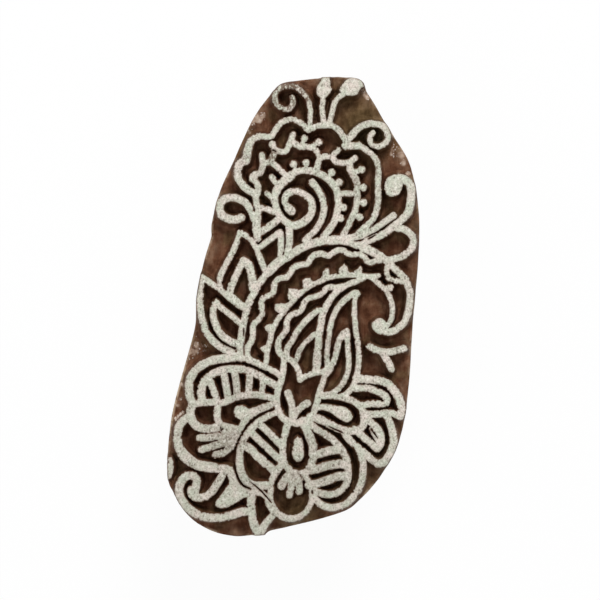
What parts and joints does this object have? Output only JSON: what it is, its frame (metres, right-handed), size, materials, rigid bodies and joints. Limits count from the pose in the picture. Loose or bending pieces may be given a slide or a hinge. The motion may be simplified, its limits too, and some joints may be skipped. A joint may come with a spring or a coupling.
{
  "type": "wooden textile printing block",
  "caption": "Hand-carved wooden printing block with a raised paisley and flower pattern, white coat on its crests and a screwed-on wooden back handle.",
  "frame": {"origin": "middle of the block's box, at the foot of the back handle that it rests on", "axes": "+Z out of the printing face, +Y along the block towards the buds, +X to the right on the face"},
  "size_m": [0.0706, 0.1284, 0.0523],
  "materials": {
    "block_wood": "bare oiled hardwood, dark brown",
    "handle_wood": "bare hardwood, worn smooth by hand",
    "screw_steel": "plain steel, a little tarnished",
    "white_coat": "chalky off-white print paste, matte"
  },
  "bodies": {
    "root": {"block_body": "block_wood", "handle": "handle_wood", "handle_screws": "screw_steel", "paisley_rim_coat": "white_coat", "paisley_wave_coat": "white_coat", "paisley_teeth_coat": "white_coat", "inner_leaf_coat": "white_coat", "long_leaf_coat": "white_coat", "paisley_scallop_coat": "white_coat", "slim_leaf_coat": "white_coat", "flower_ring_coat": "white_coat", "flower_heart_coat": "white_coat", "flower_stamen_coat": "white_coat", "flower_frill_coat": "white_coat", "flower_rim_coat": "white_coat", "flower_calyx_coat": "white_coat", "top_scroll_coat": "white_coat", "left_bud_coat": "white_coat", "right_bud_coat": "white_coat", "right_scroll_coat": "white_coat", "comma_leaf_coat": "white_coat", "right_loop_coat": "white_coat", "left_loop_coat": "white_coat", "upper_leaf_coat": "white_coat", "lower_leaf_coat": "white_coat", "sprig_coat": "white_coat", "collar_coat": "white_coat", "seed_coat": "white_coat", "pistil_coat": "white_coat", "round_petal_coat": "white_coat", "shell_arch_coat": "white_coat", "shell_comb_coat": "white_coat", "shell_bud_coat": "white_coat", "lotus_fist_coat": "white_coat", "left_scallop_coat": "white_coat", "foot_scroll_coat": "white_coat", "foot_petal_coat": "white_coat", "foot_leaf_coat": "white_coat", "left_petal_coat": "white_coat", "right_petal_coat": "white_coat", "tongue_cell_coat": "white_coat", "tongue_coat": "white_coat", "upper_right_leaf_coat": "white_coat", "lower_right_leaf_coat": "white_coat", "outer_arc_coat": "white_coat", "edge_chip_coat": "white_coat"}
  },
  "joints": []
}
